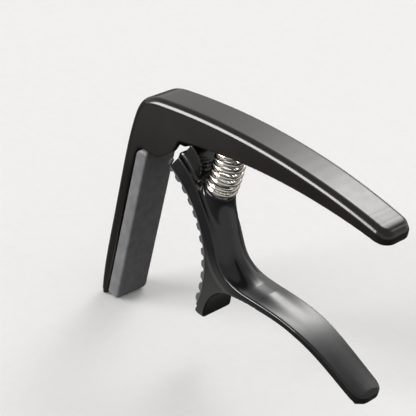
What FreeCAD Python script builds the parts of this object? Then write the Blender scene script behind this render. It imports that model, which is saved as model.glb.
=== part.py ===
"""Trigger capo for an acoustic guitar neck, shown clamped open at neck width.

Millimetres. +Z up, from the treble end of the string pad to the hinge. +X from the
string pad towards the back of the neck and the handle ends. +Y across the capo, along
the neck. The origin is the centre of the string pad's contact face, and the capo is
symmetric about the plane Y = 0, apart from the hinge pin's blind hole.
"""
import FreeCAD, Part
import math
import os

V = FreeCAD.Vector

# --- driving dimensions -------------------------------------------------------------
frame_half_width = 6.8
jaw_half_width = 6.1
handle_root_half_width = 6.5
handle_end_half_width = 5.3
rib_half_width = 4.6
slot_half_width = 4.9

# string bar and its pad
bar_inner_x = -4.1
pad_back_x = -4.0
pad_half_length = 25.5
pad_half_width = 6.4
bar_bottom_z = -26.0

# upper handle
corner_x, corner_z = 0.0, 43.1
upper_end_x = 81.0
upper_end_top_z = 44.2
upper_end_bottom_z = 40.5
upper_top_rise = 4.3
notch_x, notch_z = 10.0, 35.0
upper_bottom_rise = 3.85
belly_z = 26.1
upper_end_half_width = 6.3
frame_top_round = 1.2
jaw_edge_round = 0.4
rib_root_round = 1.0

# hinge
hinge_x, hinge_z = 2.6, 31.4
pin_radius = 1.5
pin_running_clearance = 0.05
pin_press_overlap = 0.01
pin_recess = 0.2
blind_wall = 1.0
ear_radius = 4.9
ear_clearance = 0.5

# jaw: a plate curved to the back of the neck
neck_arc_x, neck_arc_z = -4.2, -4.4
neck_arc_radius = 32.8
neck_pad_thickness = 1.7
neck_pad_half_width = 5.8
glue_gap = 0.05
jaw_top_x = 8.3
jaw_bottom_z = -10.7
jaw_tip_x, jaw_tip_z = 29.9, -13.2
plate_shoulder = (10.7, 30.1)

# lower handle
lower_end_x = 87.0
lower_end_top_z = -5.9
lower_end_thickness = 2.1

# spring and its two seats
seat_x, seat_z = 22.85, 24.4
seat_slope = -12.0
pocket_x, pocket_z = 23.1, 42.6
pocket_slope = 7.0
spring_mean_radius = 4.0
spring_wire_radius = 0.65
spring_turns = 9.0
closed_turns = 1.0
spring_start_angle = -140.0
pocket_radius = 5.25
ear_wall_x = 17.8
ear_edge_round = 0.6
post_front_round = 4.0


# --- drawing helpers ----------------------------------------------------------------
def at(x, z, y=0.0):
    return V(x, y, z)


def line(start, end):
    return Part.LineSegment(at(*start), at(*end)).toShape()


def arc(start, middle, end):
    return Part.Arc(at(*start), at(*middle), at(*end)).toShape()


def smooth(points, start_slope=None, end_slope=None):
    """A smooth curve through the points, with optional end directions."""
    curve = Part.BSplineCurve()
    vectors = [at(*point) for point in points]
    if start_slope is None:
        curve.interpolate(Points=vectors)
    else:
        curve.interpolate(Points=vectors, InitialTangent=at(*start_slope), FinalTangent=at(*end_slope))
    return curve.toShape()


def polyline(points):
    return [line(a, b) for a, b in zip(points, points[1:])]


def prism(edges, half_width):
    """Extrude a closed outline in the XZ plane equally to both sides of Y = 0."""
    face = Part.Face(Part.Wire(Part.__sortEdges__(edges)))
    face.translate(V(0, -half_width, 0))
    return face.extrude(V(0, 2 * half_width, 0))


def cross_cylinder(x, z, radius, y_start, y_end):
    return Part.makeCylinder(radius, y_end - y_start, V(x, y_start, z), V(0, 1, 0))


def rise_point(start, end, rise):
    """The middle point of an arc that stands `rise` above the chord from start to end."""
    dx = end[0] - start[0]
    dz = end[1] - start[1]
    chord = math.hypot(dx, dz)
    return ((start[0] + end[0]) / 2 - rise * dz / chord, (start[1] + end[1]) / 2 + rise * dx / chord)


def on_neck_arc(radius, x=None, z=None):
    """A point on the jaw's neck side arc family, at a given x or a given z."""
    if x is not None:
        return (x, neck_arc_z + math.sqrt(radius**2 - (x - neck_arc_x) ** 2))
    return (neck_arc_x + math.sqrt(radius**2 - (z - neck_arc_z) ** 2), z)


def neck_arc_middle(radius, start, end):
    """The point half way round the neck arc between two of its points."""
    a = math.atan2(start[1] - neck_arc_z, start[0] - neck_arc_x)
    b = math.atan2(end[1] - neck_arc_z, end[0] - neck_arc_x)
    middle = (a + b) / 2
    return (neck_arc_x + radius * math.cos(middle), neck_arc_z + radius * math.sin(middle))


def round_edges(solid, radius, wanted):
    """Fillet every edge that `wanted` accepts."""
    edges = [edge for edge in solid.Edges if wanted(edge)]
    rounded = solid.makeFillet(radius, edges)
    assert rounded.isValid() and rounded.Volume > 0
    return rounded


def on_side_face(edge, half_width):
    """True for an edge that lies in one of the two flat side faces."""
    box = edge.BoundBox
    return box.YLength < 0.01 and abs(abs(box.YMin) - half_width) < 0.01


def spring_line(fraction):
    """Centre and outward normal of the bowed spring, from its seat (0) to its pocket (1)."""
    start = math.radians(seat_slope)
    end = math.radians(pocket_slope)
    length = math.hypot(pocket_x - seat_x, pocket_z - seat_z)
    bow = length * (math.tan(end) - math.tan(start)) / 2
    x = seat_x + (pocket_x - seat_x) * fraction + bow * fraction * (1 - fraction)
    z = seat_z + (pocket_z - seat_z) * fraction
    tilt = start + (end - start) * fraction
    return (x, z), (math.cos(tilt), math.sin(tilt))


def plate_above(x, z, slope, height):
    """A large slab whose lower face passes through (x, z) at the given slope."""
    reach = 40.0
    slab = Part.makeBox(2 * reach, 2 * reach, height, V(-reach, -reach, 0))
    slab.rotate(V(0, 0, 0), V(0, 1, 0), -slope)
    slab.translate(V(x, 0, z))
    return slab


# --- frame: string bar, hinge cheeks and upper handle in one casting ----------------
def frame_outline():
    tip_outer = (-7.0, bar_bottom_z + 1.4)
    tip_inner = (bar_inner_x, bar_bottom_z + 1.0)
    corner = (corner_x, corner_z)
    end_top = (upper_end_x + 2.0, upper_end_top_z)
    end_bottom = (upper_end_x + 2.0, upper_end_bottom_z)
    notch = (notch_x, notch_z)
    shoulder = (-7.9, 33.0)
    inner_corner = (-1.9, belly_z)
    bar_top = (bar_inner_x, belly_z - 2.2)
    return [
        smooth([tip_outer, (-8.1, 0.0), (-8.4, 19.0), shoulder, (-5.3, 40.5), corner], (-1, 7), (7, 1.5)),
        arc(corner, rise_point(corner, end_top, upper_top_rise), end_top),
        line(end_top, end_bottom),
        arc(end_bottom, rise_point(notch, end_bottom, upper_bottom_rise), notch),
        smooth([notch, (9.3, 32.4), (7.4, 29.1), (4.9, 27.1), (2.0, belly_z)], (-0.2, -1), (-1, 0)),
        line((2.0, belly_z), inner_corner),
        arc(inner_corner, (-3.45, belly_z - 0.65), bar_top),
        line(bar_top, tip_inner),
        arc(tip_inner, (-5.4, bar_bottom_z), tip_outer),
    ]


def hinge_slot():
    """The slot between the cheeks that lets the jaw's rib swing."""
    radius = ear_radius + ear_clearance
    left = hinge_x - radius
    floor = belly_z - 6
    ceiling = [
        (left, hinge_z),
        (left, floor),
        (20.0, floor),
        (20.0, 38.6),
        (8.0, 38.2),
        (hinge_x, hinge_z + radius),
        (left, hinge_z),
    ]
    slot = prism(polyline(ceiling), slot_half_width)
    return slot.fuse(cross_cylinder(hinge_x, hinge_z, radius, -slot_half_width, slot_half_width))


def plan_prism(sections, end_x):
    """A prism seen from above: sides through the (x, half width) sections, then round end corners."""
    reach = 60.0
    first_x, first_half = sections[0]
    last_x, last_half = sections[-1]
    corner = end_x - last_x
    short = corner * (1 - math.sqrt(0.5))
    edges = [
        Part.LineSegment(V(first_x, first_half, -reach), V(first_x, -first_half, -reach)).toShape(),
        Part.LineSegment(V(end_x, last_half - corner, -reach), V(end_x, corner - last_half, -reach)).toShape(),
    ]
    for side in (1, -1):
        curve = Part.BSplineCurve()
        curve.interpolate(
            Points=[V(x, side * half, -reach) for x, half in sections],
            InitialTangent=V(1, 0, 0),
            FinalTangent=V(1, 0, 0),
        )
        turn = Part.Arc(
            V(last_x, side * last_half, -reach),
            V(end_x - short, side * (last_half - short), -reach),
            V(end_x, side * (last_half - corner), -reach),
        )
        edges += [curve.toShape(), turn.toShape()]
    face = Part.Face(Part.Wire(Part.__sortEdges__(edges)))
    return face.extrude(V(0, 0, 2 * reach))


def is_rim(edge):
    """True for an edge round the rim of a plan-cut casting, not across it or upright."""
    box = edge.BoundBox
    if box.XLength < 0.01 and box.YLength < 0.01:
        return False
    across = abs(edge.CenterOfMass.y) < 0.01 and edge.CenterOfMass.x < 70
    return not across


def is_top_rim(edge):
    """Rim edges round the outside of the bar, the corner and the top of the upper handle."""
    return is_rim(edge) and (edge.CenterOfMass.z > 43.3 or edge.CenterOfMass.x < -5)


def make_frame():
    half = frame_half_width
    sections = [(-20.0, half), (0.0, half), (25.0, half), (55.0, half - 0.15)]
    sections.append((upper_end_x - 4.0, upper_end_half_width))
    body = prism(frame_outline(), half + 3).common(plan_prism(sections, upper_end_x))
    body = round_edges(body, frame_top_round, is_top_rim)
    body = body.cut(hinge_slot())
    pocket = Part.makeCylinder(pocket_radius, 30, V(pocket_x, 0, pocket_z - 20), V(0, 0, 1))
    pocket = pocket.cut(plate_above(pocket_x, pocket_z + 0.05, pocket_slope, 40))
    body = body.cut(pocket)
    pin_start = -frame_half_width + blind_wall
    bore = cross_cylinder(hinge_x, hinge_z, pin_radius - pin_press_overlap, pin_start, frame_half_width + 1)
    return body.cut(bore)


# --- jaw and lower handle in one casting --------------------------------------------
def jaw_outline():
    arc_top = on_neck_arc(neck_arc_radius, x=jaw_top_x)
    arc_bottom = on_neck_arc(neck_arc_radius, z=jaw_bottom_z)
    shoulder = plate_shoulder
    tip_back = (31.3, -12.0)
    end_top = (lower_end_x + 2.0, lower_end_top_z)
    end_bottom = (lower_end_x + 2.0, lower_end_top_z - lower_end_thickness)
    back = [shoulder, (16.0, 27.0), (22.0, 21.0), (28.0, 13.3), (33.0, 5.9), (37.2, 3.8)]
    back += [(45.0, 3.35), (55.0, 3.5), (66.0, 2.0), (77.0, -1.6), end_top]
    under = [end_bottom, (75.3, -3.4), (62.0, 0.7), (50.0, 1.4), (39.5, 0.3), (34.2, -2.0)]
    under += [(31.6, -6.4), tip_back]
    return [
        arc(arc_bottom, neck_arc_middle(neck_arc_radius, arc_top, arc_bottom), arc_top),
        line(arc_top, shoulder),
        smooth(back),
        line(end_top, end_bottom),
        smooth(under),
        arc(tip_back, (jaw_tip_x, jaw_tip_z), arc_bottom),
    ]


def make_ear():
    """The upper part of the rib, from the hinge to the upright wall behind the spring."""
    ear_top = (hinge_x + 1.0, hinge_z + math.sqrt(ear_radius**2 - 1.0))
    ear_left = (hinge_x - ear_radius, hinge_z)
    ear_bottom = (hinge_x + 2.6, hinge_z - math.sqrt(ear_radius**2 - 2.6**2))
    wall_top = (ear_wall_x, 28.0)
    wall_foot = (ear_wall_x, 20.0)
    outline = [
        arc(ear_bottom, ear_left, ear_top),
        smooth([ear_top, (9.5, 35.7), (13.9, 34.5), (16.6, 31.9), wall_top], (1, 0.2), (0, -1)),
    ] + polyline([wall_top, wall_foot, (9.5, 27.0), ear_bottom])
    ear = prism(outline, rib_half_width)
    return round_edges(ear, ear_edge_round, lambda e: on_side_face(e, rib_half_width) and e.CenterOfMass.z > 32)


def make_post():
    """The lower part of the rib: a round-fronted post that runs down into the handle."""
    top = (26.8, 30.0)
    crest = [top, (27.3, 22.5), (30.0, 16.8), (33.0, 11.2), (36.4, 7.0), (40.5, 4.4), (45.0, 2.6)]
    outline = [smooth(crest, (0, -1), (1, -0.3))]
    outline += polyline([crest[-1], (40.0, 1.4), (33.0, 1.5), (26.5, 11.0), (18.5, 21.0), (18.5, 30.0), top])
    post = prism(outline, rib_half_width)

    def is_crest(edge):
        return on_side_face(edge, rib_half_width) and edge.Curve.TypeId == "Part::GeomBSplineCurve"

    return round_edges(post, post_front_round, is_crest)


def is_rib_root(edge):
    """True where the rib's flat sides stand on the plate's back; the rounding carries on round the post."""
    box = edge.BoundBox
    in_plate = box.ZMax < plate_shoulder[1] + 0.1 and box.XMin < ear_wall_x + 1.2
    return in_plate and edge.Curve.TypeId == "Part::GeomBSplineCurve" and on_side_face(edge, rib_half_width)


def make_jaw():
    sections = [(-5.0, jaw_half_width), (10.0, jaw_half_width), (30.0, jaw_half_width)]
    sections += [(42.0, handle_root_half_width), (62.0, handle_root_half_width - 0.2)]
    sections.append((lower_end_x - 4.0, handle_end_half_width))
    plate = prism(jaw_outline(), handle_root_half_width + 3).common(plan_prism(sections, lower_end_x))
    plate = round_edges(plate, jaw_edge_round, is_rim)
    body = plate.fuse([make_ear(), make_post()]).removeSplitter()
    body = round_edges(body, rib_root_round, is_rib_root)
    above_seat = plate_above(seat_x, seat_z - 0.05, seat_slope, 30)
    spring_room = Part.makeBox(20, 40, 40, V(ear_wall_x, -20, seat_z - 20))
    body = body.cut(spring_room.common(above_seat))
    bore_radius = pin_radius + pin_running_clearance
    return body.cut(cross_cylinder(hinge_x, hinge_z, bore_radius, -8, 8))


# --- soft pads ----------------------------------------------------------------------
def make_string_pad():
    lip = 2.4
    top = pad_half_length
    outline = [
        line((0, -top), (0, top)),
        line((0, top), (pad_back_x + lip, top)),
        arc((pad_back_x + lip, top), (pad_back_x + 0.7, top - 0.7), (pad_back_x, top - lip)),
        line((pad_back_x, top - lip), (pad_back_x, -top)),
        line((pad_back_x, -top), (0, -top)),
    ]
    return prism(outline, pad_half_width)


def make_neck_pad():
    """The strip inside the jaw, with a lip that wraps the jaw's upper end."""
    outer = neck_arc_radius - glue_gap
    inner = outer - neck_pad_thickness
    outer_top = on_neck_arc(outer, x=jaw_top_x - glue_gap)
    outer_bottom = on_neck_arc(outer, z=jaw_bottom_z + 0.4)
    inner_top = on_neck_arc(inner, x=jaw_top_x - 1.4)
    inner_bottom = on_neck_arc(inner, z=jaw_bottom_z + 0.4)
    lip_end = (jaw_top_x + 1.1, outer_top[1] + 2.2)
    lip_outer = (jaw_top_x - 0.4, outer_top[1] + 2.8)
    strip = prism(
        [
            arc(outer_bottom, neck_arc_middle(outer, outer_top, outer_bottom), outer_top),
            line(outer_top, lip_end),
            line(lip_end, lip_outer),
            line(lip_outer, inner_top),
            arc(inner_top, neck_arc_middle(inner, inner_top, inner_bottom), inner_bottom),
            line(inner_bottom, outer_bottom),
        ],
        neck_pad_half_width,
    )
    gap = rib_half_width + 0.4
    return strip.cut(Part.makeBox(20, 2 * gap, 10, V(0, -gap, belly_z + 0.4)))


# --- hinge pin and spring -----------------------------------------------------------
def make_hinge_pin():
    start = -frame_half_width + blind_wall + pin_recess
    end = frame_half_width - pin_recess
    pin = cross_cylinder(hinge_x, hinge_z, pin_radius, start, end)
    return pin.makeChamfer(0.25, [e for e in pin.Edges if e.BoundBox.YLength < 0.01])


def spring_rise(turn):
    """Fraction of the spring's length reached after so many turns; the end coils are closed."""
    open_turns = spring_turns - 2 * closed_turns
    closed = 2 * spring_wire_radius * closed_turns * 1.04
    length = math.hypot(pocket_x - seat_x, pocket_z - seat_z) - 2 * spring_wire_radius
    pitch = (length - 2 * closed) / open_turns
    if turn < closed_turns:
        return closed * turn / closed_turns / length
    if turn > spring_turns - closed_turns:
        return 1 - closed * (spring_turns - turn) / closed_turns / length
    return (closed + pitch * (turn - closed_turns)) / length


def make_spring():
    steps = 14
    span = math.hypot(pocket_x - seat_x, pocket_z - seat_z)
    margin = spring_wire_radius / span
    points = []
    for i in range(int(spring_turns * steps) + 1):
        turn = i / steps
        fraction = margin + (1 - 2 * margin) * spring_rise(turn)
        (x, z), (nx, nz) = spring_line(fraction)
        angle = 2 * math.pi * turn + math.radians(spring_start_angle)
        swing = spring_mean_radius * math.cos(angle)
        side = spring_mean_radius * math.sin(angle)
        points.append(V(x + nx * swing, side, z + nz * swing))
    curve = Part.BSplineCurve()
    curve.interpolate(Points=points)
    path = Part.Wire([curve.toShape()])
    direction = curve.tangent(curve.FirstParameter)[0]
    ring = Part.Wire([Part.Circle(points[0], direction, spring_wire_radius).toShape()])
    return path.makePipeShell([ring], True, True)


# --- write every piece --------------------------------------------------------------
pieces = {
    "frame": make_frame(),
    "jaw_lever": make_jaw(),
    "string_pad": make_string_pad(),
    "neck_pad": make_neck_pad(),
    "hinge_pin": make_hinge_pin(),
    "coil_spring": make_spring(),
}

os.makedirs("parts", exist_ok=True)
for name, shape in pieces.items():
    solid = shape.Solids[0] if len(shape.Solids) == 1 else shape
    print(name, "solids", len(shape.Solids), "valid", shape.isValid(), "volume", round(shape.Volume, 1))
    solid.exportStep("parts/%s.step" % name)
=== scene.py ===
"""Guitar capo: castings, soft pads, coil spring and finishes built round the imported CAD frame.

Metres, in the frame's axes: +Z up towards the hinge, +X towards the handle ends, +Y along the neck.
The origin is the centre of the string pad's contact face.
"""
import math

import bmesh
import bpy
import numpy as np
from mathutils import Matrix, Vector


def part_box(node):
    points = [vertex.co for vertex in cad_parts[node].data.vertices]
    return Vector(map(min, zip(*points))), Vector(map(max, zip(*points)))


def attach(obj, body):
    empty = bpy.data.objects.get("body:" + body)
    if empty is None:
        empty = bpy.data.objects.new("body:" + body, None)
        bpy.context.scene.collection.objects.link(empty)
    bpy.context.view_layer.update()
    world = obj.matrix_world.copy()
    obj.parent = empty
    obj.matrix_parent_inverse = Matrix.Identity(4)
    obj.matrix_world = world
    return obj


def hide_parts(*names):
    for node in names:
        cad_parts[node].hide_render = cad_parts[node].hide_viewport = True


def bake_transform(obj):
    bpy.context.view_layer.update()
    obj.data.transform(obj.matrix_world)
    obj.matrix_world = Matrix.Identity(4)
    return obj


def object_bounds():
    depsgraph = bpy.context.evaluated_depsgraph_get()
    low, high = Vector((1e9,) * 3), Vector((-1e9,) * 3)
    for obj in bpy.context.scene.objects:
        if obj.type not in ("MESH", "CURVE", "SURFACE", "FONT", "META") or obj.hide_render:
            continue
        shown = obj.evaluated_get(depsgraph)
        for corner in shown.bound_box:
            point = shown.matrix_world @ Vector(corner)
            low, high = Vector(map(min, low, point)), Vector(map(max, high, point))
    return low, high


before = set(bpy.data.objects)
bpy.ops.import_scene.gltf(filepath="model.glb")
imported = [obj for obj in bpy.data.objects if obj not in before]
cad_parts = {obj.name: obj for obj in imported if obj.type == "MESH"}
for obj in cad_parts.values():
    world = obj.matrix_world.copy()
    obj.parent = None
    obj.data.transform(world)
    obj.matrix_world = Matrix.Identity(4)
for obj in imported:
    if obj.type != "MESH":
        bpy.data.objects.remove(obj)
cad_box = [list(corner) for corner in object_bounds()]

MM = 0.001
SCENE = bpy.context.scene

# Places taken from the CAD frame, in metres.
PAD_LOW, PAD_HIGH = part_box("string_pad")
NECK_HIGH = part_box("neck_pad")[1]
HANDLE_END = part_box("jaw_lever")[1].x
HANDLE_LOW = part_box("jaw_lever")[0].z
FLOOR_Z = cad_box[0][2]

# The neck pad's arc and moulding.
NECK_ARC_X, NECK_ARC_Z = -4.2 * MM, -4.4 * MM
NECK_ARC_RADIUS = 32.8 * MM
NECK_TOP_ANGLE = math.acos((8.2 * MM - NECK_ARC_X) / NECK_ARC_RADIUS)
NECK_BOTTOM_ANGLE = math.asin((-10.3 * MM - NECK_ARC_Z) / NECK_ARC_RADIUS)
NECK_TOP_POINT = (
    NECK_ARC_X + NECK_ARC_RADIUS * math.cos(NECK_TOP_ANGLE),
    NECK_ARC_Z + NECK_ARC_RADIUS * math.sin(NECK_TOP_ANGLE),
)
PAD_BASE = 0.55 * MM
RIB_HEIGHT = 1.7 * MM
FIRST_RIB = 67.0
RIB_PITCH = 6.6
END_ROUND = 1.2 * MM

# The coil spring: its ends' centres and slopes, coil and wire.
SEAT = Vector((22.85, 0, 24.4)) * MM
POCKET = Vector((23.1, 0, 42.6)) * MM
SEAT_SLOPE, POCKET_SLOPE = math.radians(-12), math.radians(7)
COIL_RADIUS = 4.0 * MM
WIRE_RADIUS = 0.65 * MM
SPRING_TURNS = 9.0
CLOSED_TURNS = 1.0
START_ANGLE = math.radians(-140)

# The two castings: hinge, slot, widths along X, and edge roundings.
HINGE = Vector((2.6, 0, 31.4)) * MM
PIN_RADIUS = 1.5 * MM
BLIND_END = -5.8 * MM
SLOT_HALF, SLOT_END = 4.9 * MM, 20 * MM
POCKET_RADIUS = 5.25 * MM
FRAME_WIDTHS = [(0.0, 6.8 * MM), (25 * MM, 6.8 * MM), (55 * MM, 6.65 * MM), (81 * MM, 6.25 * MM)]
LEVER_WIDTHS = [
    (0.0, 6.1 * MM), (30 * MM, 6.1 * MM), (36 * MM, 6.3 * MM), (42 * MM, 6.5 * MM),
    (62 * MM, 6.3 * MM), (73 * MM, 5.7 * MM), (83 * MM, 5.3 * MM), (88 * MM, 5.3 * MM),
]
RIB_HALF = 4.6 * MM
EAR_WALL = 17.8 * MM
PLATE_JOIN = 50 * MM
OUTER_EDGE, INNER_EDGE, PLATE_EDGE = 2.2 * MM, 0.3 * MM, 0.4 * MM
EAR_EDGE, POST_ROUND, TIP_CORNER = 0.7 * MM, 4.0 * MM, 2.4 * MM
ROOT_FILLET, FOOT_FILLET = 1.3 * MM, 3.4 * MM
FOOT_TOP, FOOT_LOW = 22 * MM, 8 * MM
FOOT_SLOPE = 0.25
CROWN = 0.15 * MM
CROWN_START, CROWN_FULL = 36 * MM, 46 * MM
END_CORNER = 4 * MM
HINGE_CLEARANCE = 0.05 * MM

# Where the castings' side views are cut, and how their outlines are sorted into faces.
FRAME_CUT, JAW_CUT = -5.3 * MM, -5.65 * MM
END_STRIP, END_REACH = 0.5 * MM, 3 * MM
JAW_BACK_LOW, HANDLE_BACK_START = 1.2 * MM, 60 * MM
LEVEL = 0.9
EAR_MARGIN = 0.2 * MM
SHARED = 0.04 * MM
SEAT_LOW = 20 * MM
RIB_SINK = 1.0 * MM
RIB_SHORT = 3 * MM
TIP_START = 50 * MM

# The casting meshes' cell size and how finely their outlines are split.
STEP = 0.22 * MM
OUTLINE_SPACING = 0.4 * MM
SHARP_CORNER = 0.42

# The string pad: corner roundings, pinched ends and the lip at its top.
PAD_FRONT_ROUND, PAD_BACK_ROUND = 0.75 * MM, 0.4 * MM
PAD_END_ROUND = 1.6 * MM
PAD_LIP = 2.4 * MM
PAD_GAP = 0.06 * MM
SIDE_PINCH, FRONT_PINCH, BACK_PINCH = 0.6, 0.35, 0.2

# The neck pad: its gap to the jaw, how its ribs narrow, and the two tabs on its upper end.
NECK_GAP = 0.08 * MM
RIB_NARROWING, END_NARROWING = 0.35 * MM, 0.3 * MM
RIB_ROUND, BASE_ROUND = 0.2 * MM, 0.06 * MM
TAB_INSET = 0.42 * MM
TAB_STEPS, TAB_SIDES = 12, 20

# How bright the surroundings are, as a share of white.
PALE_WALL, CEILING = 0.75, 0.4
# Azimuth, elevation and width in degrees, then strength.
BACK_GLOW = (113, 39.5, 9, 11.0)
# Azimuth, elevation, half width and half height in degrees, then strength.
FRONT_WINDOW = (-124, 14, 18, 14, 15.0)

# What reflections see of the floor is painted: a painted dark reflection stands in for the shade of
# surroundings that are not built. Two pale patches of painted reflected light in front break it, each with
# its centre, inner and outer radius and how pale it is.
PAINTED_PALE_REFLECTIONS = (
    ((15 * MM, -26 * MM, FLOOR_Z), 9 * MM, 30 * MM, 0.75),
    ((-75 * MM, -115 * MM, FLOOR_Z), 22 * MM, 55 * MM, 0.30),
)
# Painted dark reflection: the floor's colour as reflections see it, away from the pale patches.
PAINTED_DARK_REFLECTION = 0.07
FLOOR_HALF = 3.0


# --- small helpers ------------------------------------------------------------------
def smoothstep(low, high, value):
    t = min(max((value - low) / (high - low), 0.0), 1.0)
    return t * t * (3 - 2 * t)


def mesh_object(name, vertices, faces, smooth=True):
    mesh = bpy.data.meshes.new(name)
    mesh.from_pydata([tuple(v) for v in vertices], [], faces)
    mesh.validate()
    mesh.update()
    mesh.polygons.foreach_set("use_smooth", [smooth] * len(mesh.polygons))
    piece = bpy.data.objects.new(name, mesh)
    SCENE.collection.objects.link(piece)
    return piece


def loft(rings, closed_ends=True):
    """Vertices and faces of a skin through equal rings of points, with one flat face over each end."""
    count = len(rings[0])
    vertices = [point for ring in rings for point in ring]
    faces = []
    for i in range(len(rings) - 1):
        for j in range(count):
            k = (j + 1) % count
            faces.append((i * count + j, i * count + k, (i + 1) * count + k, (i + 1) * count + j))
    if closed_ends:
        faces.append(tuple(reversed(range(count))))
        faces.append(tuple(range((len(rings) - 1) * count, len(rings) * count)))
    return vertices, faces


# --- node materials -----------------------------------------------------------------
class Finish:
    """One node material. add() makes a node and sets its inputs; an input may be another node's output."""

    def __init__(self, name):
        self.material = bpy.data.materials.new(name)
        self.material.use_nodes = True
        self.tree = self.material.node_tree
        self.tree.nodes.clear()
        self.place = self.add("ShaderNodeTexCoord").outputs["Object"]

    def add(self, kind, inputs=None, **settings):
        node = self.tree.nodes.new(kind)
        for key, value in settings.items():
            setattr(node, key, value)
        for key, value in (inputs or {}).items():
            self.set(node, key, value)
        return node

    def set(self, node, key, value):
        socket = node.inputs[key]
        if isinstance(value, bpy.types.NodeSocket):
            self.tree.links.new(value, socket)
        else:
            socket.default_value = value

    def noise(self, scale, detail=2.0, roughness=0.5, stretch=None, seed=0.0):
        """Noise from 0 to 1. scale is in cycles per metre; stretch scales each axis."""
        place = self.place
        if stretch or seed:
            mapping = self.add("ShaderNodeMapping", {"Vector": place, "Scale": stretch or (1, 1, 1)})
            mapping.inputs["Location"].default_value = (seed, seed * 0.7, seed * 0.3)
            place = mapping.outputs["Vector"]
        inputs = {"Vector": place, "Scale": scale, "Detail": detail, "Roughness": roughness}
        return self.add("ShaderNodeTexNoise", inputs).outputs["Fac"]

    def remap(self, value, low, high, to_low=0.0, to_high=1.0):
        inputs = {"Value": value, "From Min": low, "From Max": high, "To Min": to_low, "To Max": to_high}
        return self.add("ShaderNodeMapRange", inputs, clamp=True).outputs["Result"]

    def math(self, operation, a, b=0.0):
        return self.add("ShaderNodeMath", {0: a, 1: b}, operation=operation).outputs[0]

    def mix(self, share, a, b):
        node = self.add("ShaderNodeMix", data_type="RGBA")
        for key, value in ((0, share), (6, a), (7, b)):
            self.set(node, key, value if not isinstance(value, tuple) else (*value, 1.0))
        return node.outputs[2]

    def bump(self, height, distance, strength=1.0, under=None):
        inputs = {"Height": height, "Distance": distance, "Strength": strength}
        if under is not None:
            inputs["Normal"] = under
        return self.add("ShaderNodeBump", inputs).outputs["Normal"]

    def edges(self, radius):
        """1 on edges sharper than radius, 0 on open faces."""
        soft = self.add("ShaderNodeBevel", {"Radius": radius}, samples=4).outputs["Normal"]
        true = self.add("ShaderNodeNewGeometry").outputs["Normal"]
        dot = self.add("ShaderNodeVectorMath", {0: soft, 1: true}, operation="DOT_PRODUCT").outputs["Value"]
        return self.remap(dot, 0.995, 0.93)

    def finish(self, **inputs):
        shader = self.add("ShaderNodeBsdfPrincipled")
        for key, value in inputs.items():
            key = key.replace("_", " ")
            self.set(shader, key, (*value, 1.0) if isinstance(value, tuple) and len(value) == 3 else value)
        output = self.add("ShaderNodeOutputMaterial")
        self.tree.links.new(shader.outputs["BSDF"], output.inputs["Surface"])
        return self.material


def cast_black(name, dark, light):
    """Gloss black over a die casting: faint orange peel, hairline marks and thinner colour on the edges."""
    f = Finish(name)
    cloud = f.noise(90, detail=3)
    colour = f.mix(f.remap(cloud, 0.35, 0.7), dark, light)
    worn = f.math("MULTIPLY", f.edges(0.25 * MM), f.remap(f.noise(700, detail=3, seed=3.0), 0.45, 0.7))
    colour = f.mix(f.math("MULTIPLY", worn, 0.35), colour, (0.06, 0.055, 0.05))
    scratches = f.remap(f.noise(60, detail=6, roughness=0.7, stretch=(1, 14, 1), seed=7.0), 0.62, 0.72)
    rough = f.remap(f.noise(260, detail=4), 0.3, 0.7, 0.15, 0.21)
    rough = f.math("ADD", rough, f.math("MULTIPLY", scratches, 0.05))
    peel = f.bump(f.noise(1400, detail=1), 0.004 * MM)
    grain = f.bump(f.noise(9000, detail=2), 0.0012 * MM, under=peel)
    return f.finish(
        Base_Color=colour, Roughness=rough, IOR=1.5, Normal=grain, Coat_Weight=0.08, Coat_Roughness=0.05
    )


def silicone(name, dark, light):
    """Matt moulded silicone with a fine tooth and a little dust."""
    f = Finish(name)
    colour = f.mix(f.remap(f.noise(350, detail=5), 0.3, 0.7), dark, light)
    dust = f.remap(f.noise(4200, detail=2, seed=5.0), 0.68, 0.74)
    colour = f.mix(f.math("MULTIPLY", dust, 0.25), colour, (0.3, 0.3, 0.3))
    rough = f.remap(f.noise(900, detail=3), 0.3, 0.7, 0.42, 0.6)
    skin = f.bump(f.noise(5200, detail=3), 0.006 * MM)
    waves = f.bump(f.noise(420, detail=2, seed=2.0), 0.02 * MM, under=skin)
    return f.finish(
        Base_Color=colour, Roughness=rough, IOR=1.43, Normal=waves, Sheen_Weight=0.15, Sheen_Roughness=0.4
    )


def nickel_wire():
    """Bright nickel-plated wire with faint draw lines round the coils and tarnish in the noise."""
    f = Finish("nickel_wire")
    tarnish = f.remap(f.noise(500, detail=4), 0.45, 0.75)
    colour = f.mix(f.math("MULTIPLY", tarnish, 0.5), (0.78, 0.74, 0.69), (0.5, 0.43, 0.37))
    lines = f.noise(5200, detail=2, stretch=(0.15, 0.15, 3.0))
    rough = f.remap(lines, 0.3, 0.7, 0.1, 0.22)
    drawn = f.bump(lines, 0.004 * MM)
    return f.finish(Base_Color=colour, Metallic=1.0, Roughness=rough, Normal=drawn)


def turned_steel():
    """Plain ground pin with turning marks on its ends."""
    f = Finish("turned_steel")
    marks = f.noise(6000, detail=2, stretch=(3.0, 0.1, 3.0))
    colour = f.mix(f.remap(f.noise(800, detail=3), 0.4, 0.7), (0.52, 0.52, 0.53), (0.36, 0.35, 0.34))
    rough = f.remap(marks, 0.3, 0.7, 0.22, 0.38)
    return f.finish(Base_Color=colour, Metallic=1.0, Roughness=rough, Normal=f.bump(marks, 0.003 * MM))


def dress(node, material):
    """Give a carried CAD node one finish."""
    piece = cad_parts[node]
    piece.data.materials.clear()
    piece.data.materials.append(material)
    piece.data.polygons.foreach_set("material_index", [0] * len(piece.data.polygons))


dress("hinge_pin", turned_steel())


# --- castings -----------------------------------------------------------------------
def turning(outline):
    """Twice the outline's signed area: above zero if it runs from +X towards +Z."""
    return (outline[:, 0] * np.roll(outline[:, 1], -1) - outline[:, 1] * np.roll(outline[:, 0], -1)).sum()


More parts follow.
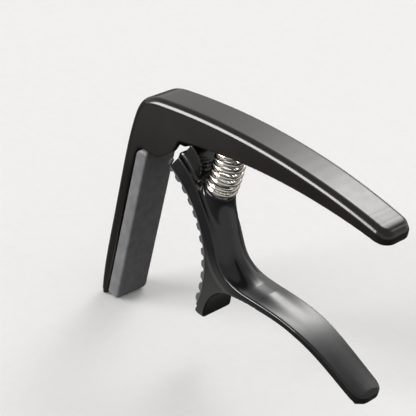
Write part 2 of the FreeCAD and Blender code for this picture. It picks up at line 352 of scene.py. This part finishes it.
def cut_outline(node, y):
    """The closed outline of a CAD node in the plane y, as an array of (x, z).

    It starts at its point of least x and turns the same way on each run.
    """
    cut = bmesh.new()
    cut.from_mesh(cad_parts[node].data)
    bmesh.ops.bisect_plane(
        cut, geom=cut.verts[:] + cut.edges[:] + cut.faces[:], plane_co=(0, y, 0), plane_no=(0, 1, 0),
        clear_inner=True, clear_outer=True,
    )
    bmesh.ops.remove_doubles(cut, verts=cut.verts[:], dist=0.002 * MM)
    loops = []
    left = dict.fromkeys(cut.edges)
    while left:
        edge = left.popitem()[0]
        start, vert = edge.verts
        loop = [start.co.copy(), vert.co.copy()]
        while vert != start:
            onward = [e for e in vert.link_edges if e in left]
            if not onward:
                break
            del left[onward[0]]
            vert = onward[0].other_vert(vert)
            loop.append(vert.co.copy())
        loops.append(loop)
    cut.free()
    longest = max(loops, key=lambda loop: sum((a - b).length for a, b in zip(loop, loop[1:])))
    outline = np.array([(p.x, p.z) for p in longest[:-1]])
    if turning(outline) < 0:
        outline = outline[::-1]
    return np.roll(outline, -np.lexsort((outline[:, 1], outline[:, 0]))[0], axis=0)


def refine(outline):
    """Curved stretches between the outline's points, split finely; turns past SHARP_CORNER radians stay."""
    after = np.roll(outline, -1, axis=0) - outline
    length = np.linalg.norm(after, axis=1)
    heading = after / length[:, None]
    before = np.roll(heading, 1, axis=0)
    turn = np.arccos(np.clip((before * heading).sum(axis=1), -1, 1))
    weight = np.roll(length, 1)
    tangent = before * length[:, None] + heading * weight[:, None]
    tangent /= np.linalg.norm(tangent, axis=1)[:, None]
    smooth = turn < SHARP_CORNER
    start = np.where(smooth[:, None], tangent, heading)
    end = np.where(np.roll(smooth, -1)[:, None], np.roll(tangent, -1, axis=0), heading)
    points = []
    for i, (a, b) in enumerate(zip(outline, np.roll(outline, -1, axis=0))):
        count = max(int(math.ceil(length[i] / OUTLINE_SPACING)), 1)
        t = (np.arange(count) / count)[:, None]
        points.append(
            (2 * t**3 - 3 * t**2 + 1) * a + (t**3 - 2 * t**2 + t) * length[i] * start[i]
            + (3 * t**2 - 2 * t**3) * b + (t**3 - t**2) * length[i] * end[i]
        )
    return np.concatenate(points)


def inside(outline, x, z):
    """True where the points lie inside the closed outline."""
    result = np.zeros(x.shape, bool)
    for (ax, az), (bx, bz) in zip(outline, np.roll(outline, -1, axis=0)):
        if az != bz:
            crossed = (az > z) != (bz > z)
            result ^= crossed & (x < ax + (bx - ax) * (z - az) / (bz - az))
    return result


def distances(outline, x, z, group, groups):
    """Distance to each group of the outline's segments, below zero on the body's side.

    Segments of group -1 are left out.
    """
    best = np.full((groups, *x.shape), 1.0, np.float32)
    for which, a, b in zip(group, outline, np.roll(outline, -1, axis=0)):
        if which < 0:
            continue
        run = b - a
        px, pz = x - a[0], z - a[1]
        share = np.clip((px * run[0] + pz * run[1]) / (run @ run), 0, 1)
        away = (px - share * run[0]) ** 2 + (pz - share * run[1]) ** 2
        np.minimum(best[which], away, out=best[which])
    best = np.sqrt(best)
    nearest = best.argmin(axis=0)
    outer = ~inside(outline, x, z)
    for which in range(groups):
        best[which] *= np.where(outer & (nearest == which), 1, -1)
    return best


def outward(outline):
    """The outward normal of each of the outline's segments."""
    run = np.roll(outline, -1, axis=0) - outline
    away = np.stack([run[:, 1], -run[:, 0]], axis=1) / np.linalg.norm(run, axis=1)[:, None]
    return away * np.sign(turning(outline))


def meet(a, b, radius):
    """The overlap of two fields with its edge rounded."""
    u = np.maximum(a + radius, 0)
    v = np.maximum(b + radius, 0)
    return np.minimum(np.maximum(a, b) + radius, 0) + np.hypot(u, v) - radius


def blend_fields(a, b, width):
    """The union of two fields, filled along its inner corner over the given width."""
    share = np.maximum(width - np.abs(a - b), 0) / width
    return np.minimum(a, b) - share * share * width / 4


def skin(name, field, low):
    """A quad mesh of the surface where the field is zero, with one point in each cell it passes through."""
    solid = field < 0
    corners = [(i, j, k) for i in (0, 1) for j in (0, 1) for k in (0, 1)]
    sizes = [n - 1 for n in field.shape]
    total = np.zeros(sizes, np.int8)
    for i, j, k in corners:
        total += solid[i:i + sizes[0], j:j + sizes[1], k:k + sizes[2]]
    cells = np.argwhere((total > 0) & (total < 8))
    values = np.stack([field[tuple((cells + corner).T)] for corner in corners], axis=1)
    places = np.zeros(cells.shape)
    crossings = np.zeros(len(cells))
    for a in range(8):
        for b in range(a + 1, 8):
            if sum(abs(p - q) for p, q in zip(corners[a], corners[b])) != 1:
                continue
            cut = (values[:, a] < 0) != (values[:, b] < 0)
            share = np.where(cut, values[:, a] / np.where(cut, values[:, a] - values[:, b], 1), 0)
            point = np.array(corners[a]) + share[:, None] * (np.array(corners[b]) - np.array(corners[a]))
            places += point * cut[:, None]
            crossings += cut
    local = places / crossings[:, None]
    number = np.full(sizes, -1, np.int32)
    number[tuple(cells.T)] = np.arange(len(cells))
    faces = []
    for axis in range(3):
        near = [slice(None)] * 3
        far = [slice(None)] * 3
        near[axis], far[axis] = slice(0, -1), slice(1, None)
        first, second = solid[tuple(near)], solid[tuple(far)]
        p, q = [n for n in range(3) if n != axis]
        edges = np.argwhere(first != second)
        clear = (edges[:, p] > 0) & (edges[:, q] > 0) & (edges[:, p] < sizes[p]) & (edges[:, q] < sizes[q])
        edges = edges[clear]
        rising = first[tuple(edges.T)]
        quad = []
        for dp, dq in ((1, 1), (0, 1), (0, 0), (1, 0)):
            cell = edges.copy()
            cell[:, p] -= dp
            cell[:, q] -= dq
            quad.append(number[tuple(cell.T)])
        quad = np.stack(quad, axis=1)
        flip = rising if axis == 1 else ~rising
        quad[flip] = quad[flip][:, ::-1]
        faces.append(quad)
    faces = np.concatenate(faces)
    slopes = np.gradient(field)
    normals = np.zeros(cells.shape)
    for corner in corners:
        share = np.prod(np.where(np.array(corner) == 1, local, 1 - local), axis=1)
        index = tuple((cells + corner).T)
        for axis in range(3):
            normals[:, axis] += share * slopes[axis][index]
    normals /= np.linalg.norm(normals, axis=1)[:, None]
    mesh = bpy.data.meshes.new(name)
    mesh.from_pydata(((cells + local) * STEP + low).tolist(), [], faces.tolist())
    mesh.update()
    mesh.polygons.foreach_set("use_smooth", [True] * len(mesh.polygons))
    mesh.normals_split_custom_set_from_vertices(normals.tolist())
    piece = bpy.data.objects.new(name, mesh)
    SCENE.collection.objects.link(piece)
    return piece


def grid_over(node):
    """Grid axes that reach a little past the node's box, and the grid's first corner."""
    low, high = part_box(node)
    margin = 3 * STEP
    axes = [np.arange(a - margin, b + margin + STEP, STEP, dtype=np.float32) for a, b in zip(low, high)]
    return axes, np.array([axis[0] for axis in axes])


def across(x, y, widths, end_x, corner):
    """Distance past the sides and the round-cornered end of a casting whose half width follows widths."""
    half = np.interp(x, [place for place, _ in widths], [width for _, width in widths]).astype(np.float32)
    return meet(np.abs(y)[None, :] - half[:, None], (x - end_x)[:, None] + 0 * y[None, :], corner)


def make_frame_casting(material):
    """The frame, with soft outer edges like those of a tumbled die casting."""
    (x, y, z), low = grid_over("frame")
    gx, gz = np.meshgrid(x, z, indexing="ij")
    outline = cut_outline("frame", FRAME_CUT)
    outline[outline[:, 0] > outline[:, 0].max() - END_STRIP, 0] += END_REACH
    outline = refine(outline)
    faces_out = outward(outline)
    outer = (faces_out[:, 1] - faces_out[:, 0] > 0).astype(int)
    inner_side, outer_side = distances(outline, gx, gz, outer, 2)
    sides = across(x, y, FRAME_WIDTHS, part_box("frame")[1].x, END_CORNER)[:, :, None]
    body = np.maximum(
        meet(outer_side[:, None, :], sides, OUTER_EDGE), meet(inner_side[:, None, :], sides, INNER_EDGE)
    )
    hollow = refine(cut_outline("frame", 0.0))
    middle = distances(hollow, gx, gz, [0] * len(hollow), 1)[0]
    well = np.hypot((x - POCKET.x)[:, None], y[None, :]) - POCKET_RADIUS
    reach = np.minimum((x - SLOT_END)[:, None], well)[:, :, None]
    slot = np.maximum(np.maximum(np.abs(y)[None, :, None] - SLOT_HALF, -middle[:, None, :]), reach)
    bore = np.hypot(gx - HINGE.x, gz - HINGE.z)[:, None, :] - PIN_RADIUS
    bore = np.maximum(bore, (BLIND_END - y)[None, :, None])
    body = np.maximum(body, -np.minimum(slot, bore))
    casting = skin("frame_casting", body, low)
    casting.data.materials.append(material)
    return casting


def joined_plate():
    """The outline of the jaw and lower handle without the rib: a side cut and, past the jaw, a middle cut."""
    def run(outline, wanted):
        keep = wanted(outline[:, 0])
        first = int(np.argmax(keep & ~np.roll(keep, 1)))
        turned, keep = np.roll(outline, -first, axis=0), np.roll(keep, -first)
        return turned[keep]

    jaw = run(cut_outline("jaw_lever", JAW_CUT), lambda x: x < PLATE_JOIN)
    handle = run(cut_outline("jaw_lever", 0.0), lambda x: x >= PLATE_JOIN)
    if np.linalg.norm(jaw[-1] - handle[0]) > np.linalg.norm(jaw[-1] - handle[-1]):
        handle = handle[::-1]
    return refine(np.concatenate([jaw, handle]))


def make_lever_casting(material):
    """The jaw and lower handle, with a rib that flows into the plate through a fillet widest at its foot."""
    (x, y, z), low = grid_over("jaw_lever")
    gx, gz = np.meshgrid(x, z, indexing="ij")
    plate = joined_plate()
    facing = outward(plate)
    on_back = (facing.sum(axis=1) > 0) & (
        (plate[:, 1] > JAW_BACK_LOW) | (plate[:, 0] > HANDLE_BACK_START)
    )
    neck_side, back = distances(plate, gx, gz, on_back.astype(int), 2)

    rib = refine(cut_outline("jaw_lever", 0.0))
    middle = (rib + np.roll(rib, -1, axis=0)) / 2
    nearest = np.full(len(rib), 1.0)
    for a, b in zip(plate, np.roll(plate, -1, axis=0)):
        share = np.clip((middle - a) @ (b - a) / ((b - a) @ (b - a)), 0, 1)
        nearest = np.minimum(nearest, np.linalg.norm(middle - a - share[:, None] * (b - a), axis=1))
    rib_facing = outward(rib)
    part = np.where(rib_facing[:, 1] > LEVEL, 1, 2)
    part = np.where((middle[:, 0] < EAR_WALL + EAR_MARGIN), 0, part)
    part = np.where(nearest < SHARED, -1, part)
    part = np.where((part == 1) & (middle[:, 1] < SEAT_LOW), 2, part)
    ear, seat, post = distances(rib, gx, gz, part, 3)
    foot_x, foot_z = rib[part == 2][np.argmax(rib[part == 2][:, 0])]
    sinking = ((gx - foot_x) * FOOT_SLOPE + gz - foot_z) / math.hypot(1, FOOT_SLOPE)
    post = np.where(gx > foot_x, sinking, post).astype(np.float32)

    flat = np.abs(y)[None, :, None] - RIB_HALF
    rib_field = np.maximum(
        meet(ear[:, None, :], flat, EAR_EDGE),
        np.maximum(meet(seat[:, None, :], flat, INNER_EDGE), meet(post[:, None, :], flat, POST_ROUND)),
    )
    rib_field = np.maximum(rib_field, (-back - RIB_SINK)[:, None, :])
    rib_field = np.maximum(rib_field, (x - HANDLE_END + RIB_SHORT).astype(np.float32)[:, None, None])

    sides = across(x, y, LEVER_WIDTHS, HANDLE_END, END_CORNER)[:, :, None]
    tip = np.where(x < TIP_START, 0, -1).astype(np.float32)[:, None] + HANDLE_LOW - z[None, :]
    sides = meet(sides, tip[:, None, :] + 0 * sides, TIP_CORNER)
    crown = CROWN * (y / LEVER_WIDTHS[0][1]) ** 2
    raised = np.interp(x, [CROWN_START, CROWN_FULL], [0, 1]).astype(np.float32)
    top = back[:, None, :] + (crown[None, :] * raised[:, None])[:, :, None]
    plate_field = np.maximum(meet(top, sides, PLATE_EDGE), meet(neck_side[:, None, :], sides, PLATE_EDGE))

    foot = np.clip((FOOT_TOP - gz) / (FOOT_TOP - FOOT_LOW), 0, 1)
    width = (ROOT_FILLET + (FOOT_FILLET - ROOT_FILLET) * foot * foot * (3 - 2 * foot)).astype(np.float32)
    body = blend_fields(plate_field, rib_field, width[:, None, :])
    bore = np.hypot(gx - HINGE.x, gz - HINGE.z) - PIN_RADIUS - HINGE_CLEARANCE
    body = np.maximum(body, -bore[:, None, :])
    body = np.maximum(body, (x - HANDLE_END).astype(np.float32)[:, None, None])
    casting = skin("lever_casting", body, low)
    casting.data.materials.append(material)
    return casting


frame_black = cast_black("frame_black", (0.0055, 0.0045, 0.0038), (0.0085, 0.007, 0.006))
frame_casting = make_frame_casting(frame_black)
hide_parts("frame")
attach(frame_casting, "frame")

lever_black = cast_black("lever_black", (0.0045, 0.0045, 0.005), (0.007, 0.007, 0.0075))
lever_casting = make_lever_casting(lever_black)
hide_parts("jaw_lever")
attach(lever_casting, "lever")


# --- string pad ---------------------------------------------------------------------
def make_string_pad(material):
    """A soft-edged bar whose ends pull in a little and whose top curves away at the back."""
    rows = 90
    corners = 6
    rings = []
    length = PAD_HIGH.z - PAD_LOW.z
    for i in range(rows + 1):
        share = i / rows
        edge = 0.5 - 0.5 * math.cos(math.pi * share)
        z = PAD_LOW.z + length * edge
        from_end = min(z - PAD_LOW.z, PAD_HIGH.z - z)
        pinch = 0.0
        if from_end < PAD_END_ROUND:
            pinch = PAD_END_ROUND - math.sqrt(max(PAD_END_ROUND**2 - (PAD_END_ROUND - from_end) ** 2, 0.0))
        half = PAD_HIGH.y - pinch * SIDE_PINCH
        x_front = PAD_HIGH.x - pinch * FRONT_PINCH
        x_back = PAD_LOW.x + PAD_GAP + pinch * BACK_PINCH
        from_top = PAD_HIGH.z - z
        if from_top < PAD_LIP:
            x_back += PAD_LIP - math.sqrt(max(PAD_LIP**2 - (PAD_LIP - from_top) ** 2, 0.0))
        ring = []
        for cx, cy, r, start in (
            (x_front, half, PAD_FRONT_ROUND, 0), (x_back, half, PAD_BACK_ROUND, 90),
            (x_back, -half, PAD_BACK_ROUND, 180), (x_front, -half, PAD_FRONT_ROUND, 270),
        ):
            sx = -1 if cx == x_front else 1
            sy = -1 if cy > 0 else 1
            for k in range(corners + 1):
                a = math.radians(start + 90 * k / corners)
                ring.append(Vector((cx + sx * r + r * math.cos(a), cy + sy * r + r * math.sin(a), z)))
        rings.append(ring)
    vertices, faces = loft(rings)
    pad = mesh_object("string_pad_silicone", vertices, faces)
    pad.data.materials.append(material)
    return pad


string_pad = make_string_pad(silicone("string_pad_silicone", (0.10, 0.10, 0.105), (0.14, 0.14, 0.145)))
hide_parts("string_pad")
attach(string_pad, "frame")


# --- neck pad -----------------------------------------------------------------------
def pad_corner_ring(inner, outer, half, inner_round, outer_round, steps=5):
    """A rectangle with rounded corners, as a ring of (radius, side) points."""
    ring = []
    corners = (
        (outer, half, outer_round, 0), (inner, half, inner_round, 90),
        (inner, -half, inner_round, 180), (outer, -half, outer_round, 270),
    )
    for radius, side, rounding, start in corners:
        sign_r = -1 if radius == outer else 1
        sign_y = -1 if side > 0 else 1
        for k in range(steps + 1):
            a = math.radians(start + 90 * k / steps)
            across_corner = side + rounding * (sign_y + math.sin(a))
            ring.append((radius + rounding * (sign_r + math.cos(a)), across_corner))
    return ring


def make_neck_pad(material):
    """A moulded strip inside the jaw: cross ribs towards the neck, and two tabs over the jaw's upper end."""
    rows = 260
    outer = NECK_ARC_RADIUS - NECK_GAP
    half = NECK_HIGH.y
    rings = []
    for i in range(rows + 1):
        share = i / rows
        angle = NECK_TOP_ANGLE + (NECK_BOTTOM_ANGLE - NECK_TOP_ANGLE) * share
        wave = 0.5 + 0.5 * math.cos(2 * math.pi * (math.degrees(angle) - FIRST_RIB) / RIB_PITCH)
        rib = smoothstep(0.12, 0.62, wave) * (0.55 + 0.45 * math.sqrt(wave))
        from_end = min(angle - NECK_BOTTOM_ANGLE, NECK_TOP_ANGLE - angle) * outer
        pinch = 1.0 - math.sqrt(max(1.0 - (1.0 - min(from_end / END_ROUND, 1.0)) ** 2, 0.0))
        height = (PAD_BASE + (RIB_HEIGHT - PAD_BASE) * rib) * (1.0 - 0.75 * pinch)
        ribbed_half = half - RIB_NARROWING * rib - END_NARROWING * pinch
        ring = []
        for radius, side in pad_corner_ring(outer - height, outer, ribbed_half, RIB_ROUND, BASE_ROUND):
            if radius > outer - PAD_BASE * 0.8:
                side *= half / ribbed_half * (1.0 - 0.05 * pinch)
            x, z = NECK_ARC_X + radius * math.cos(angle), NECK_ARC_Z + radius * math.sin(angle)
            ring.append(Vector((x, side, z)))
        rings.append(ring)
    vertices, faces = loft(rings)
    for side in (1, -1):
        tab_rings = []
        tab_y = side * (NECK_HIGH.y - TAB_INSET)
        for k in range(TAB_STEPS + 1):
            t = k / TAB_STEPS
            round_off = math.sqrt(max(1.0 - (2.0 * t - 1.0) ** 4, 0.0)) * 0.38 + 0.02
            base = Vector((NECK_TOP_POINT[0], 0, NECK_TOP_POINT[1]))
            centre = base + Vector((0.25 * MM - 0.9 * MM * (1 - t), 0, 2.5 * MM * t - 0.2 * MM))
            tab_rings.append([
                centre + Vector((1.5 * round_off * MM * math.cos(a), tab_y + round_off * MM * math.sin(a), 0))
                for a in (2 * math.pi * n / TAB_SIDES for n in range(TAB_SIDES))
            ])
        tab_vertices, tab_faces = loft(tab_rings)
        offset = len(vertices)
        vertices += tab_vertices
        faces += [tuple(index + offset for index in face) for face in tab_faces]
    pad = mesh_object("neck_pad_silicone", vertices, faces)
    shells = bmesh.new()
    shells.from_mesh(pad.data)
    bmesh.ops.recalc_face_normals(shells, faces=shells.faces)
    shells.to_mesh(pad.data)
    shells.free()
    pad.data.materials.append(material)
    return pad


neck_pad = make_neck_pad(silicone("neck_pad_silicone", (0.035, 0.035, 0.038), (0.06, 0.06, 0.064)))
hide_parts("neck_pad")
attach(neck_pad, "lever")


# --- coil spring --------------------------------------------------------------------
def spring_place(fraction):
    """Centre and outward direction of the bowed spring, from its seat (0) to its pocket (1)."""
    length = (POCKET - SEAT).length
    bow = length * (math.tan(POCKET_SLOPE) - math.tan(SEAT_SLOPE)) / 2
    centre = SEAT.lerp(POCKET, fraction) + Vector((bow * fraction * (1 - fraction), 0, 0))
    tilt = SEAT_SLOPE + (POCKET_SLOPE - SEAT_SLOPE) * fraction
    return centre, Vector((math.cos(tilt), 0, math.sin(tilt)))


def spring_rise(turn):
    """Fraction of the length reached after so many turns: one closed coil at each end."""
    length = (POCKET - SEAT).length - 2 * WIRE_RADIUS
    closed = 2.08 * WIRE_RADIUS * CLOSED_TURNS / length
    if turn < CLOSED_TURNS:
        return closed * turn / CLOSED_TURNS
    if turn > SPRING_TURNS - CLOSED_TURNS:
        return 1 - closed * (SPRING_TURNS - turn) / CLOSED_TURNS
    return closed + (1 - 2 * closed) * (turn - CLOSED_TURNS) / (SPRING_TURNS - 2 * CLOSED_TURNS)


def make_spring(material):
    """Round wire wound right-handed, with its two ends closed and ground."""
    per_turn = 44
    sides = 18
    margin = WIRE_RADIUS / (POCKET - SEAT).length
    path = []
    for i in range(int(SPRING_TURNS * per_turn) + 1):
        turn = i / per_turn
        centre, outward = spring_place(margin + (1 - 2 * margin) * spring_rise(turn))
        angle = 2 * math.pi * turn + START_ANGLE
        radial = outward * math.cos(angle) + Vector((0, math.sin(angle), 0))
        path.append((centre + radial * COIL_RADIUS, radial))
    rings = []
    last = len(path) - 1
    for i, (place, radial) in enumerate(path):
        along = (path[min(i + 1, last)][0] - path[max(i - 1, 0)][0]).normalized()
        upward = along.cross(radial).normalized()
        outward = upward.cross(along)
        shrink = 0.82 if i in (0, last) else 1.0
        radius = WIRE_RADIUS * shrink
        rings.append([
            place + (outward * math.cos(a) + upward * math.sin(a)) * radius
            for a in (2 * math.pi * k / sides for k in range(sides))
        ])
    vertices, faces = loft(rings)
    spring = mesh_object("coil_spring_wire", vertices, faces)
    spring.data.materials.append(material)
    return spring


spring = make_spring(nickel_wire())
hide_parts("coil_spring")
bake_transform(spring)


# --- camera, light and floor --------------------------------------------------------
def make_camera():
    """A long lens a little over half a metre away, looking down on the near side of the capo."""
    data = bpy.data.cameras.new("camera")
    data.sensor_width = 36.0
    data.lens = 152.35
    data.clip_start = 0.05
    data.clip_end = 20.0
    camera = bpy.data.objects.new("camera", data)
    right = Vector((0.72528894, 0.66009939, 0.1955115)).normalized()
    ahead = Vector((-0.49488755, 0.69732712, -0.51847971)).normalized()
    up = right.cross(ahead).normalized()
    turn = Matrix((right, up, -ahead)).transposed().to_4x4()
    camera.matrix_world = Matrix.Translation(Vector((0.2642, -0.3440, 0.2723))) @ turn
    SCENE.collection.objects.link(camera)
    SCENE.camera = camera


def direction(azimuth, elevation):
    """Unit vector at an azimuth from +X towards +Y and an elevation above the floor."""
    a, e = math.radians(azimuth), math.radians(elevation)
    return (math.cos(e) * math.cos(a), math.cos(e) * math.sin(a), math.sin(e))


def make_world():
    """Plain studio surroundings, paler near the floor, with a window in front and a soft glow behind."""
    world = bpy.data.worlds.new("studio")
    world.use_nodes = True
    SCENE.world = world
    tree = world.node_tree
    tree.nodes.clear()

    def add(kind, inputs=None, **settings):
        node = tree.nodes.new(kind)
        for key, value in settings.items():
            setattr(node, key, value)
        for key, value in (inputs or {}).items():
            if isinstance(value, bpy.types.NodeSocket):
                tree.links.new(value, node.inputs[key])
            else:
                node.inputs[key].default_value = value
        return node

    ray = add("ShaderNodeTexCoord").outputs["Generated"]

    def math_node(operation, a, b=0.0):
        return add("ShaderNodeMath", {0: a, 1: b}, operation=operation).outputs[0]

    def glow(azimuth, elevation, width, strength):
        """A round light that is brightest in the middle and fades away softly."""
        aim = add("ShaderNodeVectorMath", {0: ray, 1: direction(azimuth, elevation)}, operation="DOT_PRODUCT")
        angle = math_node("ARCCOSINE", aim.outputs["Value"])
        fade = math_node("POWER", math_node("DIVIDE", angle, math.radians(width)), 1.3)
        return math_node("MULTIPLY", math_node("EXPONENT", math_node("MULTIPLY", fade, -1.0)), strength)

    def window(azimuth, elevation, half_wide, half_high, strength):
        """A rectangular light with crisp edges."""
        side = Vector((-math.sin(math.radians(azimuth)), math.cos(math.radians(azimuth)), 0))
        ahead = Vector(direction(azimuth, elevation))
        over = ahead.cross(side)
        parts = [strength]
        for axis, half in ((side, half_wide), (over, half_high)):
            offset = add("ShaderNodeVectorMath", {0: ray, 1: axis}, operation="DOT_PRODUCT").outputs["Value"]
            reach = math.sin(math.radians(half))
            size = math_node("ABSOLUTE", offset)
            inputs = {"Value": size, "From Min": reach * 1.06, "From Max": reach * 0.94}
            parts.append(add("ShaderNodeMapRange", inputs, clamp=True).outputs["Result"])
        front = add("ShaderNodeVectorMath", {0: ray, 1: ahead}, operation="DOT_PRODUCT").outputs["Value"]
        parts.append(math_node("GREATER_THAN", front, 0.0))
        total = parts[0]
        for part in parts[1:]:
            total = math_node("MULTIPLY", part, total)
        return total

    height = add("ShaderNodeSeparateXYZ", {0: ray}).outputs["Z"]
    base = add(
        "ShaderNodeMapRange",
        {"Value": height, "From Min": 0.25, "From Max": 0.75, "To Min": PALE_WALL, "To Max": CEILING},
        interpolation_type="SMOOTHSTEP", clamp=True,
    ).outputs["Result"]
    total = math_node("ADD", base, glow(*BACK_GLOW))
    total = math_node("ADD", total, window(*FRONT_WINDOW))
    background = add("ShaderNodeBackground", {"Color": (1.0, 0.99, 0.98, 1.0), "Strength": total})
    output = add("ShaderNodeOutputWorld")
    tree.links.new(background.outputs[0], output.inputs["Surface"])


def make_floor():
    """A wide sheet of light-coloured paper under the capo, seen as paper by the camera; reflections see a
    painted reflection instead, mostly dark with two lighter patches.
    """
    floor = mesh_object(
        "floor",
        [(x * FLOOR_HALF, y * FLOOR_HALF, FLOOR_Z) for x, y in ((-1, -1), (1, -1), (1, 1), (-1, 1))],
        [(0, 1, 2, 3)],
        smooth=False,
    )
    f = Finish("floor_paper_with_painted_reflection")
    seen = f.add("ShaderNodeLightPath").outputs["Is Camera Ray"]
    paper = f.mix(f.noise(400, detail=3), (0.80, 0.80, 0.80), (0.84, 0.84, 0.84))
    # Painted reflection: rays other than the camera's see this dark colour with lighter patches, painted in
    # for the shade and light of surroundings that are not built.
    painted_reflection_level = PAINTED_DARK_REFLECTION
    for centre, inner, outer, strength in PAINTED_PALE_REFLECTIONS:
        spread = f.add("ShaderNodeVectorMath", {0: f.place, 1: centre}, operation="DISTANCE").outputs["Value"]
        painted_reflection_level = f.math("ADD", f.remap(spread, outer, inner, 0.0, strength), painted_reflection_level)
    painted_reflection_channels = {0: painted_reflection_level, 1: painted_reflection_level, 2: f.math("MULTIPLY", painted_reflection_level, 0.96)}
    painted_reflection_colour = f.add("ShaderNodeCombineColor", painted_reflection_channels).outputs[0]
    colour = f.mix(seen, painted_reflection_colour, paper)
    floor.data.materials.append(f.finish(Base_Color=colour, Roughness=0.9))


make_camera()
make_world()
make_floor()
SCENE.view_settings.view_transform = "Standard"
